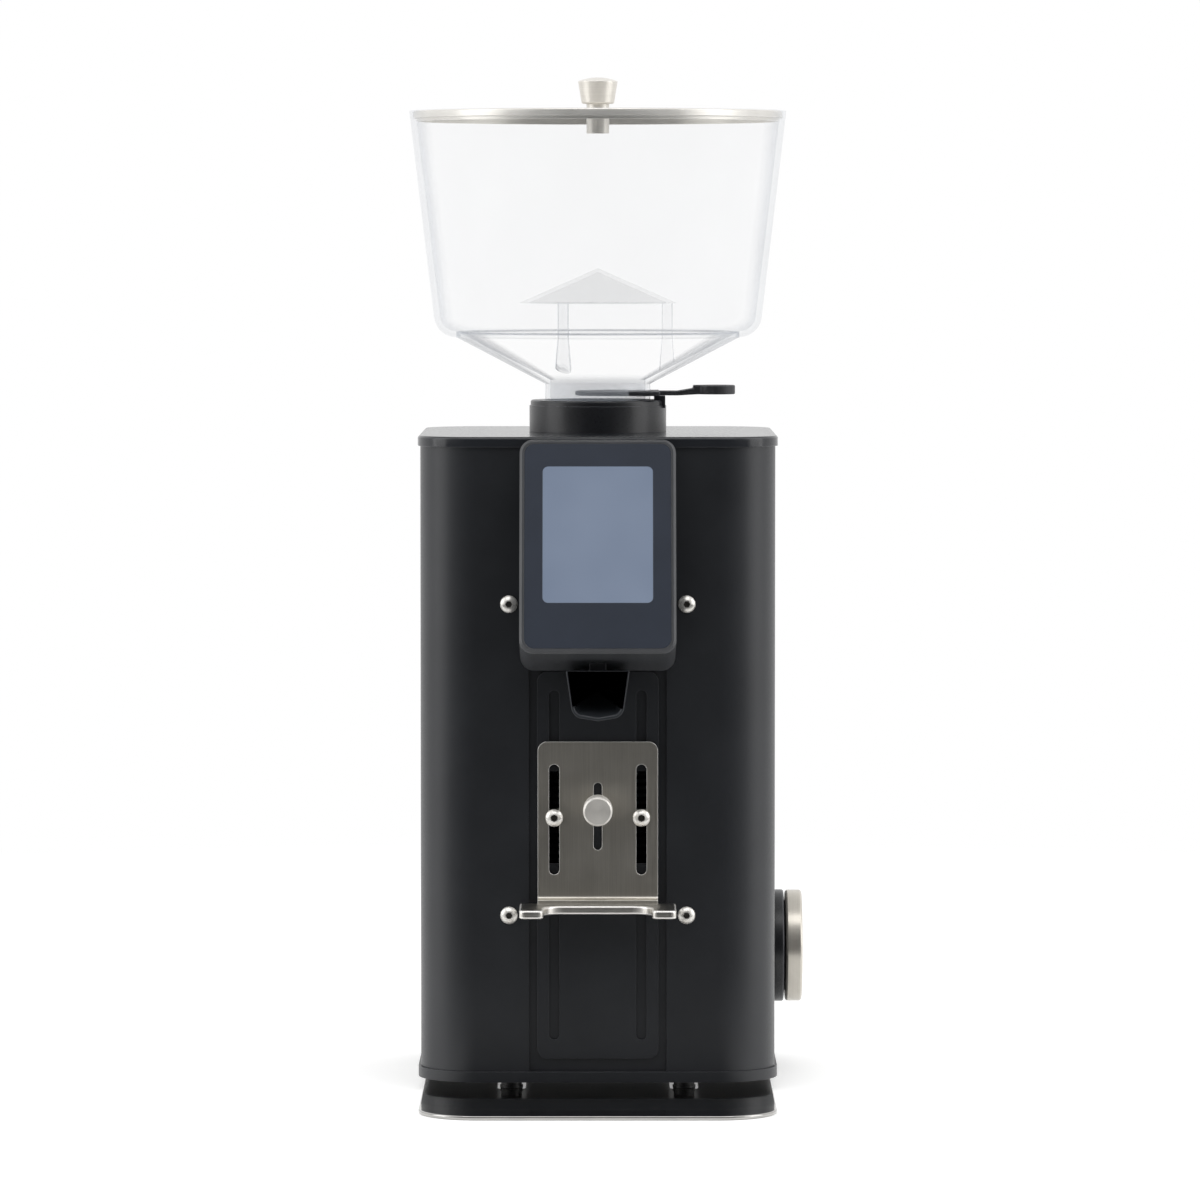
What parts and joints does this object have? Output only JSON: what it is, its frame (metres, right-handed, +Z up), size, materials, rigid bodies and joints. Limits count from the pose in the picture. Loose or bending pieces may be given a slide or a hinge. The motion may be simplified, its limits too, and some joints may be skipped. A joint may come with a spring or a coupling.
{
  "type": "burr coffee grinder",
  "caption": "Upright coffee grinder with flat burrs, clear bean hopper, touch display, portafilter fork, start button, side grind dial and a loose base tray.",
  "frame": {"origin": "on the floor, under the middle of the body", "axes": "+Z up, -Y towards the front with the display and fork, +X towards the grind dial"},
  "size_m": [0.1734, 0.2475, 0.4404],
  "materials": {
    "mirror_steel": "mirror-polished stainless sheet",
    "black_rubber": "matte",
    "turned_steel": "turned, fine lathe marks",
    "black_coat": "satin black powder coat",
    "polished_screws": "polished stainless",
    "black_aluminium": "satin black anodising",
    "clear_plastic": "clear moulded plastic",
    "black_plastic": "fine moulded texture",
    "slate_plastic": "satin slate paint",
    "dark_glass": "dark printed glass",
    "lit_screen": "flat screen under glass",
    "circuit_board": "green solder mask",
    "brushed_bracket": "brushed stainless, broken edges",
    "brass_bush": "turned",
    "red_plastic": "smooth",
    "machined_aluminium": "cast and machined",
    "laminated_steel": "stacked laminations",
    "copper_coils": "varnished copper wire, taped",
    "burr_steel": "hardened, ground"
  },
  "bodies": {
    "body": {"base_plate": "black_coat", "foot_pads": "black_rubber", "foot_studs": "black_plastic", "frame_posts": "turned_steel", "front_panel": "black_coat", "guide_plate": "black_coat", "body_sleeve": "black_coat", "sleeve_screws": "polished_screws", "top_plate": "black_coat", "hopper_collar": "black_aluminium", "display_housing": "slate_plastic", "display_glass": "dark_glass", "display_screen": "lit_screen", "display_board": "circuit_board", "display_screws": "polished_screws", "spout": "black_coat", "spout_lamp": "black_plastic", "bracket_screws": "polished_screws", "bracket_nuts": "turned_steel", "button_bush": "brass_bush", "button_spring": "turned_steel", "micro_switch": "black_plastic", "dial_plate": "black_coat", "dial_collar": "black_aluminium", "adjust_frame": "machined_aluminium", "motor_plate": "machined_aluminium", "motor_stator": "laminated_steel", "motor_coils": "copper_coils", "lower_end_cap": "machined_aluminium", "upper_end_cap": "machined_aluminium", "motor_bearings": "turned_steel", "burr_housing": "machined_aluminium", "upper_burr_carrier": "machined_aluminium", "upper_burr": "burr_steel", "control_board": "circuit_board", "power_inlet": "black_plastic", "switch_body": "black_plastic"},
    "tray": {"base_tray": "mirror_steel"},
    "hopper_group": {"hopper": "clear_plastic", "hopper_funnel": "clear_plastic", "deflector": "clear_plastic"},
    "lid_group": {"hopper_lid": "mirror_steel", "lid_knob": "turned_steel", "lid_nut": "turned_steel"},
    "shutter_blade": {"shutter": "black_plastic"},
    "holder": {"bracket_plate": "brushed_bracket", "fork": "brushed_bracket"},
    "button": {"start_button": "turned_steel", "switch_plunger": "red_plastic"},
    "dial": {"dial_knob": "turned_steel", "dial_hub": "black_plastic", "dial_shaft": "turned_steel"},
    "wedge": {"adjust_wedge": "brass_bush"},
    "rotor": {"motor_shaft": "turned_steel", "motor_rotor": "laminated_steel", "motor_fan": "black_plastic"},
    "burr_group": {"push_rod": "turned_steel", "lower_burr_carrier": "machined_aluminium", "lower_burr": "burr_steel"},
    "rocker": {"power_rocker": "black_plastic"}
  },
  "joints": [
    {"name": "tray_slide", "type": "slide", "parent": "body", "child": "tray", "axis": [0, -1, 0], "range_m": [0, 0.16]},
    {"name": "hopper_lift", "type": "slide", "parent": "body", "child": "hopper_group", "axis": [0, 0, 1], "range_m": [0, 0.06]},
    {"name": "lid_lift", "type": "slide", "parent": "hopper_group", "child": "lid_group", "axis": [0, 0, 1], "range_m": [0, 0.06]},
    {"name": "shutter_slide", "type": "slide", "parent": "hopper_group", "child": "shutter_blade", "axis": [1, 0, 0], "range_m": [-0.01, 0.026]},
    {"name": "holder_height", "type": "slide", "parent": "body", "child": "holder", "axis": [0, 0, 1], "range_m": [-0.008, 0.015]},
    {"name": "button_press", "type": "slide", "parent": "body", "child": "button", "axis": [0, 1, 0], "range_m": [0, 0.003], "stiffness_N_per_m": 500, "springref_m": -0.002, "deforming": ["button_spring"]},
    {"name": "dial_turn", "type": "hinge", "parent": "body", "child": "dial", "pos_m": [0.0865, 0, 0.0564], "axis": [1, 0, 0], "range_deg": [-361, 181]},
    {"name": "wedge_travel", "type": "slide", "parent": "body", "child": "wedge", "axis": [1, 0, 0], "range_m": [-0.003, 0.0015]},
    {"name": "burr_spin", "type": "hinge", "parent": "body", "child": "rotor", "pos_m": [0, 0, 0.128], "axis": [0, 0, 1], "continuous": true},
    {"name": "burr_lift", "type": "slide", "parent": "rotor", "child": "burr_group", "axis": [0, 0, 1], "range_m": [-0.00062, 0.00032]},
    {"name": "rocker_tip", "type": "hinge", "parent": "body", "child": "rocker", "pos_m": [0.026, 0.076, 0.0401], "axis": [-1, 0, 0], "range_deg": [0, 16]}
  ],
  "couplings": [
    {"joint": "dial_turn", "follows": "wedge_travel", "rad_per_m": 2094.4},
    {"joint": "burr_lift", "follows": "wedge_travel", "ratio": 0.2}
  ]
}
